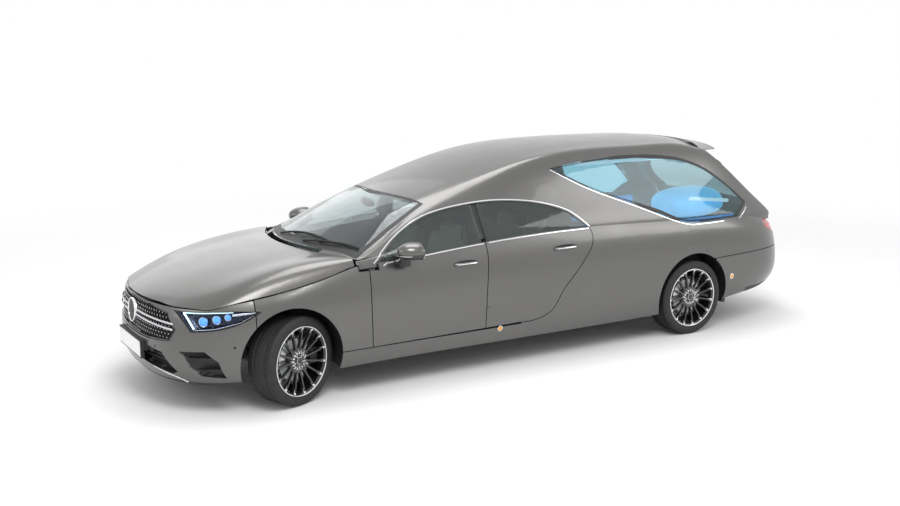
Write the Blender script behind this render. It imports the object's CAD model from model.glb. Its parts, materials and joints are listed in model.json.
"""Looks of a hearse: paint, glass, wheels, lamps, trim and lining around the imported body."""

import json
import math

import bmesh
import bpy
from bpy.props import FloatProperty, FloatVectorProperty, IntProperty, PointerProperty
from mathutils import Matrix, Vector
from mathutils.bvhtree import BVHTree


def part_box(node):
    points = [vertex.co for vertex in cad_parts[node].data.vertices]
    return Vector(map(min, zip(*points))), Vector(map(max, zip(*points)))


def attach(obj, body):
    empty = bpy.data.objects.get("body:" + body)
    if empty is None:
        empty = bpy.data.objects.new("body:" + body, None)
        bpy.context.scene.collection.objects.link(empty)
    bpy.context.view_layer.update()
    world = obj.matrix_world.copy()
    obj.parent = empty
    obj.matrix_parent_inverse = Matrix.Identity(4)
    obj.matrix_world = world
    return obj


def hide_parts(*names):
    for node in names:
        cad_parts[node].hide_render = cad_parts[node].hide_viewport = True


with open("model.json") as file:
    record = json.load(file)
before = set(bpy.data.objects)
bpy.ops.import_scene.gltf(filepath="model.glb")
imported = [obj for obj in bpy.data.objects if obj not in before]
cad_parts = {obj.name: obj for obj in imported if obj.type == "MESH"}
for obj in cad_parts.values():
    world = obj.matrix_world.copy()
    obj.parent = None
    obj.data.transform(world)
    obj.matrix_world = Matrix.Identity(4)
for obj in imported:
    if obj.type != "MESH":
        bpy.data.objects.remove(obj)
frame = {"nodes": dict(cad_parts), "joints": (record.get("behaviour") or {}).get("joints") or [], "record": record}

bl_info = {
    "name": "Hearse",
    "version": (1, 0, 0),
    "blender": (4, 2, 0),
    "location": "3D View > Sidebar > Hearse",
    "description": "Builds the paint, glass, wheels, lamps, trim and lining of a hearse",
    "category": "Add Mesh",
}

NODES = frame["nodes"]
BODY = "body"
SIDES = (("left", 1), ("right", -1))
UP = Vector((0, 0, 1))
JOINTS = {joint["name"]: joint for joint in frame["joints"]}
FRONT_AXLE_X = JOINTS["left_steering"]["pos_m"][0]
REAR_AXLE_X = JOINTS["left_rear_wheel_spin"]["pos_m"][0]
TYRE_RADIUS = JOINTS["left_rear_wheel_spin"]["pos_m"][2]
RIM_RADIUS = 0.252
TYRE_HALF = 0.119


# ---------------------------------------------------------------- settings
class HearseColours(bpy.types.PropertyGroup):
    """Finishes that a user would change."""
    paint: FloatVectorProperty(name="Paint", description="Body paint", subtype="COLOR", size=3,
                               default=(0.132, 0.130, 0.127), min=0, max=1)
    tint: FloatVectorProperty(name="Tinted glass", description="Door and tailgate glass", subtype="COLOR",
                              size=3, default=(0.46, 0.53, 0.52), min=0, max=1)
    clear: FloatVectorProperty(name="Clear glass", description="Screen and load windows", subtype="COLOR",
                               size=3, default=(0.62, 0.70, 0.72), min=0, max=1)
    hide: FloatVectorProperty(name="Seat leather", description="Seat covers", subtype="COLOR", size=3,
                              default=(0.30, 0.32, 0.29), min=0, max=1)
    lining: FloatVectorProperty(name="Lining", description="Lit lining of the load space", subtype="COLOR",
                                size=3, default=(0.04, 0.17, 0.42), min=0, max=1)
    trim: FloatVectorProperty(name="Cabin trim", description="Dashboard and partition", subtype="COLOR",
                              size=3, default=(0.035, 0.035, 0.038), min=0, max=1)


class HearseSizes(bpy.types.PropertyGroup):
    """Sizes of trim and wheels that a user would change."""
    spokes: IntProperty(name="Spokes", description="Spokes of each wheel", default=15, min=5, max=24)
    strip_width: FloatProperty(name="Strip width", description="Width of the bright window strip",
                               unit="LENGTH", default=0.009, min=0.004, max=0.03)
    tread_depth: FloatProperty(name="Tread depth", description="Depth of the tyre grooves", unit="LENGTH",
                               default=0.006, min=0.002, max=0.01)
    mesh_pitch: FloatProperty(name="Grille pitch", description="Size of one diamond of the grille",
                              unit="LENGTH", default=0.034, min=0.015, max=0.08)


def colours():
    return bpy.context.scene.hearse_colours


def sizes():
    return bpy.context.scene.hearse_sizes


# ---------------------------------------------------------------- materials
PRINCIPLED = "Principled BSDF"
USED_SPAN = (0.3, 0.7)
GLASS_IOR = 1.45


def shader(name, colour, roughness, metallic=0.0, glow=None, **sockets):
    """A material with one Principled shader; glow is the colour of its own light."""
    material = bpy.data.materials.new(name)
    material.use_nodes = True
    main = material.node_tree.nodes[PRINCIPLED]
    main.inputs["Base Color"].default_value = (*colour, 1)
    main.inputs["Roughness"].default_value = roughness
    main.inputs["Metallic"].default_value = metallic
    for key, value in sockets.items():
        main.inputs[key.replace("_", " ")].default_value = value
    if glow:
        main.inputs["Emission Color"].default_value = (*glow, 1)
    material.diffuse_color = (*colour, 1)
    return material


def texture(material, kind, scale, **sockets):
    """A texture over the piece's own coordinates, so that it moves with the piece."""
    tree = material.node_tree
    node = tree.nodes.new(f"ShaderNodeTex{kind}")
    node.inputs["Scale"].default_value = scale
    for key, value in sockets.items():
        node.inputs[key].default_value = value
    coords = tree.nodes.new("ShaderNodeTexCoord")
    tree.links.new(coords.outputs["Object"], node.inputs["Vector"])
    return node


def noise(material, scale, detail):
    return texture(material, "Noise", scale, Detail=detail).outputs["Fac"]


def bands(material, scale, direction, **sockets):
    """Even bands across one axis of the piece."""
    node = texture(material, "Wave", scale, **sockets)
    node.bands_direction = direction
    return node.outputs["Fac"]


def vary(material, source, rough=None, tones=None, bump=None):
    """Lets a texture drive the roughness or the colour between two limits, or the relief."""
    tree = material.node_tree
    main = tree.nodes[PRINCIPLED]
    if rough:
        span = tree.nodes.new("ShaderNodeMapRange")
        for socket, value in zip(("From Min", "From Max", "To Min", "To Max"), (*USED_SPAN, *rough)):
            span.inputs[socket].default_value = value
        tree.links.new(source, span.inputs["Value"])
        tree.links.new(span.outputs["Result"], main.inputs["Roughness"])
    if tones:
        ramp = tree.nodes.new("ShaderNodeValToRGB")
        for k in (0, 1):
            ramp.color_ramp.elements[k].position = USED_SPAN[k]
            ramp.color_ramp.elements[k].color = (*tones[k], 1)
        tree.links.new(source, ramp.inputs["Fac"])
        tree.links.new(ramp.outputs["Color"], main.inputs["Base Color"])
    if bump:
        relief = tree.nodes.new("ShaderNodeBump")
        relief.inputs["Strength"].default_value = bump[0]
        relief.inputs["Distance"].default_value = bump[1]
        tree.links.new(source, relief.inputs["Height"])
        tree.links.new(relief.outputs["Normal"], main.inputs["Normal"])


def grained(name, colour, roughness, metallic=0.0, grain=(60, 3), rough=None, tones=None, bump=None,
            glow=None, **sockets):
    """A material that one noise varies; grain is the noise's scale and detail."""
    material = shader(name, colour, roughness, metallic, glow, **sockets)
    vary(material, noise(material, *grain), rough, tones, bump)
    return material


def shades(colour, *factors):
    """Darker and lighter tones of a colour."""
    return [tuple(min(1.0, c * factor) for c in colour) for factor in factors]


def body_paint():
    """Metallic paint: fine flake in the base coat under a smooth clear coat."""
    colour = colours().paint
    material = shader("body_paint", colour, 0.30, 0.90, Coat_Weight=0.45, Coat_Roughness=0.06)
    vary(material, noise(material, 900, 2), tones=shades(colour, 0.86, 1.16))
    vary(material, noise(material, 3.5, 3), rough=(0.27, 0.33))
    return material


def tinted_glass():
    return grained("tinted_glass", colours().tint, 0.02, grain=(6, 3), rough=(0.015, 0.04),
                   Transmission_Weight=0.96, IOR=GLASS_IOR)


def clear_glass():
    return grained("clear_glass", colours().clear, 0.02, grain=(6, 3), rough=(0.0, 0.03),
                   Transmission_Weight=0.97, IOR=GLASS_IOR)


def load_glass():
    """Pale cyan glass of the load space."""
    return grained("load_glass", (0.46, 0.72, 0.80), 0.02, grain=(6, 3), rough=(0.0, 0.03),
                   Transmission_Weight=0.97, IOR=GLASS_IOR)


def bright_metal():
    """Polished strip metal."""
    return grained("bright_metal", (0.82, 0.83, 0.85), 0.10, 1.0, grain=(30, 3), rough=(0.06, 0.16))


def turned_alloy():
    """Machined and lacquered face of the wheels, with fine turning marks."""
    return grained("turned_alloy", (0.72, 0.73, 0.74), 0.22, 1.0, grain=(160, 4), rough=(0.18, 0.30),
                   bump=(0.15, 0.0004), Coat_Weight=0.4, Coat_Roughness=0.08)


def gloss_black():
    return grained("gloss_black", (0.010, 0.010, 0.011), 0.12, grain=(25, 5), rough=(0.09, 0.20),
                   Coat_Weight=0.5)


def satin_black():
    """Grained black plastic of grille, cowl and lower trim."""
    return grained("satin_black", (0.016, 0.016, 0.017), 0.5, grain=(420, 3), rough=(0.42, 0.58),
                   bump=(0.3, 0.0004))


def cabin_trim():
    colour = colours().trim
    return grained("cabin_trim", colour, 0.62, grain=(300, 4), tones=shades(colour, 0.8, 1.25),
                   bump=(0.35, 0.0005))


def cast_metal():
    return grained("cast_metal", (0.045, 0.045, 0.047), 0.6, 0.7, grain=(90, 5),
                   tones=((0.03, 0.03, 0.03), (0.07, 0.068, 0.066)), bump=(0.4, 0.001))


def brushed_steel():
    material = shader("brushed_steel", (0.55, 0.56, 0.57), 0.3, 1.0)
    vary(material, bands(material, 120, "Y", Distortion=6), rough=(0.24, 0.4))
    return material


def tyre_rubber():
    material = shader("tyre_rubber", (0.012, 0.012, 0.012), 0.72)
    vary(material, noise(material, 40, 6), tones=((0.009, 0.009, 0.009), (0.022, 0.021, 0.020)))
    vary(material, noise(material, 600, 2), bump=(0.25, 0.0005))
    return material


def seat_leather():
    """Pebbled leather with soft wear."""
    colour = colours().hide
    material = shader("seat_leather", colour, 0.5)
    vary(material, noise(material, 7, 5), rough=(0.42, 0.58), tones=shades(colour, 0.8, 1.12))
    vary(material, texture(material, "Voronoi", 260).outputs["Distance"], bump=(0.3, 0.0008))
    return material


def lit_lining():
    """Blue lining of the load space, washed by its own lamps."""
    colour = colours().lining
    return grained("lit_lining", colour, 0.7, grain=(240, 3), tones=shades(colour, 0.75, 1.2),
                   bump=(0.3, 0.0006), glow=(0.05, 0.32, 0.80), Emission_Strength=0.55)


def lamp_tube():
    return grained("lamp_tube", (0.90, 0.92, 0.93), 0.3, grain=(80, 2), rough=(0.25, 0.4),
                   glow=(0.93, 0.96, 1.0), Emission_Strength=0.6)


def lamp_lens():
    """Clear outer lens of the headlights."""
    return grained("lamp_lens", (0.93, 0.96, 1.0), 0.01, grain=(20, 3), rough=(0.0, 0.03),
                   Transmission_Weight=1.0, IOR=1.12)


def lamp_glow():
    """Blue of the lit projectors."""
    return grained("lamp_glow", (0.10, 0.28, 0.80), 0.15, grain=(60, 2), rough=(0.1, 0.25),
                   glow=(0.08, 0.35, 1.0), Emission_Strength=0.7)


def red_lens():
    """Red lens with level flutes."""
    material = shader("red_lens", (0.30, 0.008, 0.008), 0.12, Coat_Weight=0.8, Coat_Roughness=0.03)
    vary(material, bands(material, 60, "Z"), tones=((0.22, 0.005, 0.005), (0.42, 0.014, 0.012)),
         bump=(0.4, 0.001))
    return material


def amber_lens():
    return grained("amber_lens", (0.80, 0.33, 0.02), 0.3, grain=(200, 2), bump=(0.3, 0.0005), Coat_Weight=0.2)


def plate_white():
    return grained("plate_white", (0.86, 0.86, 0.85), 0.38, grain=(30, 4), rough=(0.32, 0.46))


def satin_metal():
    """Satin bright metal of bars, lips and rings."""
    return grained("satin_metal", (0.62, 0.63, 0.65), 0.24, 1.0, rough=(0.20, 0.30))


def mirror_silver():
    """Silvered glass of the door mirrors."""
    return grained("mirror_silver", (0.80, 0.82, 0.84), 0.02, 1.0, grain=(40, 3), rough=(0.01, 0.05))


def deck_laminate():
    """Grey laminate of the load deck."""
    return grained("deck_laminate", (0.07, 0.075, 0.085), 0.45, grain=(220, 4),
                   tones=((0.055, 0.06, 0.07), (0.09, 0.095, 0.11)), bump=(0.25, 0.0004))


def lamp_bowl():
    """Dark reflector bowl of the headlamps."""
    return grained("lamp_bowl", (0.020, 0.026, 0.045), 0.25, 0.6, grain=(70, 3), rough=(0.18, 0.34))


def light_guide():
    """Pale cyan light guide of the headlamps."""
    return grained("light_guide", (0.75, 0.92, 1.0), 0.2, grain=(120, 2), rough=(0.15, 0.3),
                   glow=(0.62, 0.90, 1.0), Emission_Strength=1.5)


def lit_box():
    """Cyan cover of the light box, softly lit from inside."""
    return grained("lit_box", (0.05, 0.35, 0.70), 0.35, grain=(5, 3),
                   tones=((0.02, 0.24, 0.60), (0.06, 0.46, 0.80)), glow=(0.10, 0.62, 1.0),
                   Emission_Strength=0.60, Coat_Weight=0.4)


def red_glow():
    """Lit bands of the tail lamps."""
    return grained("red_glow", (0.60, 0.02, 0.02), 0.2, grain=(120, 2), rough=(0.15, 0.3),
                   glow=(1.0, 0.05, 0.04), Emission_Strength=0.15)


FINISHES = {
    "paint": body_paint, "tinted_glass": tinted_glass, "clear_glass": clear_glass, "load_glass": load_glass,
    "alloy": gloss_black, "tyre": tyre_rubber, "iron": cast_metal, "steel": brushed_steel,
    "black": satin_black, "trim": cabin_trim, "seat": seat_leather, "lamp_glass": lamp_lens,
    "red_lamp": red_lens, "white": lamp_tube, "plate": plate_white, "chrome": bright_metal,
    "turned": turned_alloy, "gloss": gloss_black, "lining": lit_lining, "glow": lamp_glow,
    "amber": amber_lens, "satin": satin_metal, "mirror": mirror_silver, "deck": deck_laminate,
    "lamp_bowl": lamp_bowl, "guide": light_guide, "red_glow": red_glow, "lit_box": lit_box,
}
MADE = {}


def finish_of(name):
    """The material of a finish, made once."""
    if name not in MADE:
        MADE[name] = FINISHES[name]()
    return MADE[name]


# ---------------------------------------------------------------- mesh helpers
CLOSE = 1e-5


def spaced(first, last, steps):
    """Values from first to last in equal steps, both included."""
    return [first + (last - first) * k / steps for k in range(steps + 1)]


def turns(steps):
    """Angles of a full turn in equal steps."""
    return [2 * math.pi * k / steps for k in range(steps)]


def add_piece(name, shape, finish, body=BODY, smooth=35.0):
    """A finished piece that rides on a body; its shape is a mesh or a function that fills one."""
    mesh = mesh_of(name, shape) if callable(shape) else shape
    piece = bpy.data.objects.new(name, mesh)
    bpy.context.scene.collection.objects.link(piece)
    mesh.materials.append(finish_of(finish))
    mesh.shade_smooth()
    mesh.set_sharp_from_angle(angle=math.radians(smooth))
    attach(piece, body)
    return piece


def mesh_of(name, build):
    """A mesh filled by a function that works on a bmesh."""
    work = bmesh.new()
    build(work)
    bmesh.ops.recalc_face_normals(work, faces=work.faces)
    mesh = bpy.data.meshes.new(name)
    work.to_mesh(mesh)
    work.free()
    return mesh


def skin_rings(work, rings, closed_rings=True, cap=False):
    """Joins rings of points with quads; returns the vertices of each ring."""
    made = [[work.verts.new(p) for p in ring] for ring in rings]
    count = len(made[0])
    last = count if closed_rings else count - 1
    for a, b in zip(made, made[1:]):
        for i in range(last):
            j = (i + 1) % count
            work.faces.new((a[i], a[j], b[j], b[i]))
    if cap:
        work.faces.new(made[0][::-1])
        work.faces.new(made[-1])
    return made


BAR_PROFILE = ((-1.0, -0.4), (-1.0, 0.45), (-0.7, 0.85), (0.0, 1.0), (0.7, 0.85), (1.0, 0.45), (1.0, -0.4))


def bar_along(work, points, normals, width, height, taper=1.0):
    """A slim bar with a crowned outer face along a line of surface points."""
    rings = []
    count = len(points)
    for i, (point, normal) in enumerate(zip(points, normals)):
        ahead = points[min(i + 1, count - 1)] - points[max(i - 1, 0)]
        across = ahead.cross(normal).normalized()
        end = min(i, count - 1 - i) / max(1, count - 1)
        w = width / 2 * (1.0 if end > 0.02 else taper)
        rings.append([point + across * (s * w) + normal * (t * height) for s, t in BAR_PROFILE])
    skin_rings(work, rings, cap=True)


def tube_along(work, points, radius, sides=8):
    """A round tube along a line of points."""
    rings = []
    for i, point in enumerate(points):
        ahead = (points[min(i + 1, len(points) - 1)] - points[max(i - 1, 0)]).normalized()
        side = ahead.cross(UP)
        side = side.normalized() if side.length > 0.05 else Vector((0, 1, 0))
        other = side.cross(ahead)
        rings.append([point + (side * math.cos(a) + other * math.sin(a)) * radius
                      for a in turns(sides)])
    skin_rings(work, rings, cap=True)


def spline(points, steps):
    """Points of a smooth curve through the given ones."""
    line = []
    for i in range(len(points) - 1):
        p0, p1 = points[max(i - 1, 0)], points[i]
        p2, p3 = points[i + 1], points[min(i + 2, len(points) - 1)]
        for k in range(steps):
            t = k / steps
            line.append(tuple(0.5 * (2 * b + (c - a) * t + (2 * a - 5 * b + 4 * c - d) * t * t
                                     + (3 * b - 3 * c + d - a) * t ** 3)
                              for a, b, c, d in zip(p0, p1, p2, p3)))
    line.append(tuple(points[-1]))
    return line


def curve(points, steps=8):
    """A smooth flat line through (x, z) points."""
    return [(p[0], p[2]) for p in spline([(x, 0.0, z) for x, z in points], steps)]


TREES = {}


def surface_tree(*nodes):
    """Ray tree of one or more body nodes."""
    if nodes not in TREES:
        verts, faces = [], []
        for node in nodes:
            mesh = NODES[node].data
            base = len(verts)
            verts += [v.co.copy() for v in mesh.vertices]
            faces += [[base + i for i in p.vertices] for p in mesh.polygons]
        TREES[nodes] = BVHTree.FromPolygons(verts, faces)
    return TREES[nodes]


RAY_AHEAD, RAY_ASIDE, RAY_ABOVE = 3.4, 1.2, 2.5


def met(nodes, start, way):
    """Surface point and outward normal met by a ray, or None."""
    hit, normal = surface_tree(*nodes).ray_cast(Vector(start), Vector(way))[:2]
    if hit is None:
        return None
    return hit, normal if normal.dot(Vector(way)) < 0 else -normal


def on_side(nodes, x, z, side):
    """The same for a ray from the left (side 1) or the right (side -1)."""
    return met(nodes, (x, side * RAY_ASIDE, z), (0, -side, 0))


def on_front(nodes, y, z, way=1):
    """The same for a ray from the front (way 1) or the rear (way -1)."""
    return met(nodes, (way * RAY_AHEAD, y, z), (-way, 0, 0))


def on_top(nodes, x, y):
    """The same for a ray from above."""
    return met(nodes, (x, y, RAY_ABOVE), (0, 0, -1))


def laid(found, lift=0.0):
    """Points lifted off a surface, and their normals, from the rays that met it."""
    found = [f for f in found if f]
    return [p + n * lift for p, n in found], [n for p, n in found]


def side_line(nodes, outline, side, lift=0.0):
    """Points and normals of a side surface under an outline of (x, z) points."""
    return laid([on_side(nodes, x, z, side) for x, z in outline], lift)


def front_line(nodes, outline, lift=0.0, way=1):
    """Points and normals of a front or rear surface under an outline of (y, z) points."""
    return laid([on_front(nodes, y, z, way) for y, z in outline], lift)


def cover_mesh(name, node, planes, lift):
    """A skin over the part of a node inside some planes, lifted off it along its normals."""
    work = bmesh.new()
    work.from_mesh(NODES[node].data)
    for point, outward in planes:
        geom = work.verts[:] + work.edges[:] + work.faces[:]
        bmesh.ops.bisect_plane(work, geom=geom, plane_co=Vector(point), plane_no=Vector(outward),
                               clear_outer=True)
    bmesh.ops.remove_doubles(work, verts=work.verts, dist=CLOSE)
    drop_loose(work)
    work.normal_update()
    for vert in work.verts:
        vert.co += vert.normal * lift
    mesh = bpy.data.meshes.new(name)
    work.to_mesh(mesh)
    work.free()
    return mesh


def drop_loose(work):
    """Deletes vertices that carry no face."""
    bmesh.ops.delete(work, geom=[v for v in work.verts if not v.link_faces], context="VERTS")


def sheet_faces(work, rows):
    """A grid of quads through rows of points, skipping cells with a missing point."""
    made = [[work.verts.new(p) if p is not None else None for p in row] for row in rows]
    for a, b in zip(made, made[1:]):
        for i in range(len(a) - 1):
            corners = (a[i], a[i + 1], b[i + 1], b[i])
            if all(corners):
                work.faces.new(corners)
    drop_loose(work)


def thicken(work, depth):
    """Gives open sheets a thickness behind their faces."""
    bmesh.ops.solidify(work, geom=work.faces[:], thickness=depth)


def ribbon(work, points, normals, width, lift=0.0):
    """A flat band with a slight crown along a line of surface points."""
    rows = []
    for i, (point, normal) in enumerate(zip(points, normals)):
        ahead = points[min(i + 1, len(points) - 1)] - points[max(i - 1, 0)]
        side = ahead.cross(normal).normalized() * (width / 2)
        rows.append([point + side * share + normal * (lift + 0.0006 * (1 - share * share))
                     for share in (-1.0, -0.5, 0.0, 0.5, 1.0)])
    sheet_faces(work, rows)


def blade(work, points, across, width, thick):
    """A slat of oval section along a line; across is the direction of its width."""
    rings = []
    for i, point in enumerate(points):
        ahead = (points[min(i + 1, len(points) - 1)] - points[max(i - 1, 0)]).normalized()
        wide = (across - ahead * across.dot(ahead)).normalized()
        high = ahead.cross(wide)
        rings.append([point + wide * (math.cos(a) * width / 2) + high * (math.sin(a) * thick / 2)
                      for a in turns(10)])
    skin_rings(work, rings, cap=True)


def lathe(work, rings):
    """Closes profiles that stand around an axis into a turned skin."""
    skin_rings(work, rings + rings[:1], closed_rings=False)
    bmesh.ops.remove_doubles(work, verts=work.verts, dist=CLOSE / 10)


def disc_faces(work, centre, axis, rows, steps=40):
    """A turned piece about an axis from (radius, offset) points."""
    axis = axis.normalized()
    side = axis.orthogonal().normalized()
    other = axis.cross(side)
    rings = []
    for angle in turns(steps):
        spread = side * math.cos(angle) + other * math.sin(angle)
        rings.append([centre + spread * r + axis * y for r, y in rows])
    lathe(work, rings)


def between(points, x):
    """Height of a polyline of (x, z) points, in order of rising or falling x."""
    rows = sorted(points)
    if x <= rows[0][0]:
        return rows[0][1]
    for (x0, z0), (x1, z1) in zip(rows, rows[1:]):
        if x <= x1:
            return z0 + (z1 - z0) * (x - x0) / (x1 - x0)
    return rows[-1][1]


def add_pair(name, shape, finish, bodies=(BODY, BODY), smooth=35.0):
    """A left piece and its mirror image on the car's other side."""
    mesh = mesh_of(name, shape) if callable(shape) else shape
    twin = mesh.copy()
    twin.transform(Matrix.Scale(-1, 4, (0, 1, 0)))
    twin.flip_normals()
    return [add_piece(f"{side}_{name}", skin, finish, body, smooth)
            for side, skin, body in zip(("left", "right"), (mesh, twin), bodies)]


def box_faces(work, low, high, bevel=0.0):
    """A block with softened edges."""
    made = bmesh.ops.create_cube(work, size=1.0)
    centre = (Vector(low) + Vector(high)) / 2
    size = Vector(high) - Vector(low)
    for vert in made["verts"]:
        vert.co = Vector(vert.co[i] * size[i] + centre[i] for i in range(3))
    if bevel:
        edges = list({e for v in made["verts"] for e in v.link_edges})
        bmesh.ops.bevel(work, geom=edges, offset=bevel, segments=2, affect="EDGES")


# ---------------------------------------------------------------- finishes of the body
def dress(node, finish):
    """Gives a body node its finish."""
    mesh = NODES[node].data
    mesh.materials.clear()
    mesh.materials.append(finish_of(finish))


class HEARSE_OT_body(bpy.types.Operator):
    """Paint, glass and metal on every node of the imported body"""
    bl_idname = "hearse.body"
    bl_label = "Body finishes"

    def execute(self, context):
        slots = {row["node"]: row["material_slot"] for row in frame["record"]["subparts"]}
        for node in NODES:
            dress(node, slots[node])
        for node, finish in (("door_pillars", "gloss"), ("load_deck", "deck"), ("load_windows", "load_glass"),
                             ("hood_brackets", "iron"), ("door_hinges", "iron")):
            dress(node, finish)
        return {"FINISHED"}


# ---------------------------------------------------------------- wheels
def wheel_frame(end, name, side):
    """Place of a wheel: its centre, with local +Y pointing out of the car."""
    joint = JOINTS[f"{name}_{end}_wheel_spin"]
    out = Vector(joint["axis"]).normalized() * side
    turn = Matrix((out.cross(UP), out, UP)).transposed().to_4x4()
    return Matrix.Translation(joint["pos_m"]) @ turn


def wheel_ring(profile, angle):
    """A profile of (radius, offset) points turned about the wheel's axis by an angle."""
    return [Vector((r * math.sin(angle), y, r * math.cos(angle))) for r, y in profile]


def turned(work, profile, steps):
    """A piece turned about the wheel's axis from (radius, offset) points."""
    lathe(work, [wheel_ring(profile, angle) for angle in turns(steps)])


TREAD_STEPS = 288
TREAD_RINGS = (-0.052, -0.018, 0.018, 0.052)
TREAD_LANES = (0.098, 0.0585, 0.058, 0.0465, 0.046, 0.0245, 0.024, 0.0125, 0.012, 0.0)


def tread_height(y, step):
    """Groove pattern of the tread: two ring grooves and slanting side cuts."""
    depth = sizes().tread_depth
    if any(abs(y - ring) < 0.006 for ring in TREAD_RINGS):
        return depth
    slant = (step * 4 + int(abs(y) * 420)) % 8
    return depth * 0.8 if abs(y) > 0.058 and slant < 1 else 0.0


def tyre_faces(work):
    """Tyre with rounded shoulders, rim flange ridge and cut tread."""
    half = TYRE_HALF
    wall = [(RIM_RADIUS - 0.008, half - 0.018), (RIM_RADIUS + 0.004, half - 0.009),
            (RIM_RADIUS + 0.010, half - 0.0035), (RIM_RADIUS + 0.018, half - 0.003),
            (TYRE_RADIUS - 0.048, half - 0.0005), (TYRE_RADIUS - 0.032, half - 0.0005),
            (TYRE_RADIUS - 0.020, half - 0.003), (TYRE_RADIUS - 0.010, half - 0.008),
            (TYRE_RADIUS - 0.004, half - 0.015)]
    lanes = [*TREAD_LANES, *(-y for y in TREAD_LANES[-2::-1])]
    rings = []
    for k, angle in enumerate(turns(TREAD_STEPS)):
        tread = [(TYRE_RADIUS - 0.0005 - tread_height(y, k), y) for y in lanes]
        rings.append(wheel_ring(wall + tread + [(r, -y) for r, y in wall[::-1]], angle))
    lathe(work, rings)
    bead = [v for v in work.verts if math.hypot(v.co.x, v.co.z) < RIM_RADIUS - 0.007]
    bead.sort(key=lambda v: (v.co.y > 0, math.atan2(v.co.x, v.co.z)))
    count = len(bead) // 2
    low, high = bead[:count], bead[count:]
    for i in range(count):
        j = (i + 1) % count
        work.faces.new((low[i], low[j], high[j], high[i]))


SPOKE_PROFILE = ((0.0018, -0.55), (0.0024, 0), (0.0018, 0.55), (-0.001, 1), (-0.020, 1.25), (-0.020, -1.25),
                 (-0.001, -1))
SPOKE_START, SPOKE_STOP = 0.050, RIM_RADIUS - 0.010


def spoke_faces(work, count):
    """Bright front faces of the spokes, each a slim crowned bar widening at both ends."""
    for angle in turns(count):
        turn = Matrix.Rotation(angle, 4, "Y")
        rows = []
        for share in (0.0, 0.08, 0.2, 0.5, 0.8, 0.92, 1.0):
            radius = SPOKE_START + share * (SPOKE_STOP - SPOKE_START)
            flare = 0.0035 * (abs(share - 0.5) * 2) ** 4
            wide = (0.0082 - 0.0016 * share) + flare
            face = 0.0785 + 0.0265 * share - 0.012 * math.sin(math.pi * share)
            rows.append([turn @ Vector((radius, face + rise, wide * across))
                         for rise, across in SPOKE_PROFILE])
        skin_rings(work, rows, cap=True)


def hub_faces(work):
    """Centre boss with its cap and five bolts."""
    turned(work, [(0.0, 0.0865), (0.026, 0.0865), (0.0295, 0.0845), (0.030, 0.078), (0.033, 0.0775),
                  (0.047, 0.0775), (0.0565, 0.0785), (0.0605, 0.0755), (0.062, 0.066), (0.062, 0.058)], 60)
    for angle in turns(5):
        turn = Matrix.Rotation(angle + 0.3, 4, "Y")
        for radius, depth in ((0.0075, 0.0800), (0.0052, 0.0835)):
            ring = [Vector((0.0405 + radius * math.cos(a), depth, radius * math.sin(a)))
                    for a in turns(6)]
            back = [p - Vector((0, 0.006, 0)) for p in ring]
            skin_rings(work, [[turn @ p for p in back], [turn @ p for p in ring]], cap=True)


def lip_ring(work):
    """Bright outer lip of the rim."""
    turned(work, [(RIM_RADIUS - 0.010, 0.098), (RIM_RADIUS - 0.008, 0.1115), (RIM_RADIUS - 0.005, 0.1140),
                  (RIM_RADIUS - 0.001, 0.1145), (RIM_RADIUS + 0.0015, 0.1125), (RIM_RADIUS + 0.001, 0.108),
                  (RIM_RADIUS - 0.004, 0.104), (RIM_RADIUS - 0.006, 0.098)], 120)


def rim_faces(work):
    spoke_faces(work, sizes().spokes)
    hub_faces(work)
    lip_ring(work)


def add_wheel_pieces(*rows):
    """Pieces on each of the four wheels, from rows of label, mesh maker, finish, slot and smoothing."""
    sources = [mesh_of(row[0], row[1]) for row in rows]
    for end in ("front", "rear"):
        for name, side in SIDES:
            place = wheel_frame(end, name, side)
            for (label, faces, finish, slot, smooth), source in zip(rows, sources):
                mesh = source.copy()
                mesh.transform(place)
                piece = add_piece(f"{name}_{end}_{label}", mesh, finish, f"{name}_{end}_wheel", smooth)
                if label == "tyre_tread":
                    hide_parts(f"{name}_{end}_tyre")


class HEARSE_OT_wheels(bpy.types.Operator):
    """Tyres with tread and the bright spoked faces of the four wheels"""
    bl_idname = "hearse.wheels"
    bl_label = "Wheels"

    def execute(self, context):
        add_wheel_pieces(("tyre_tread", tyre_faces, "tyre", "tyre", 30),
                         ("wheel_face", rim_faces, "turned", "alloy", 30))
        return {"FINISHED"}


class HEARSE_OT_discs(bpy.types.Operator):
    """Machined brake discs and dark caps behind the spokes"""
    bl_idname = "hearse.discs"
    bl_label = "Brake discs and caps"

    def execute(self, context):
        def brake_disc(work):
            turned(work, [(0.084, 0.0318), (0.086, 0.0335), (0.150, 0.0335), (0.152, 0.0318)], 64)

        def hub_cap(work):
            turned(work, [(0.0, 0.0885), (0.018, 0.0882), (0.0235, 0.0875), (0.0245, 0.0850)], 48)
        add_wheel_pieces(("brake_disc", brake_disc, "steel", "alloy", 40),
                         ("hub_cap", hub_cap, "gloss", "alloy", 40))
        return {"FINISHED"}


ARCH_RADIUS = 0.400
ARCH_CENTRE_Z = 0.337
ARCH_SPAN = (-14, 196)
LINER_LIP = 0.040
LINER_SETBACK = 0.026
LINER_THICKNESS = 0.003
PANEL_Y = 0.905


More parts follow.
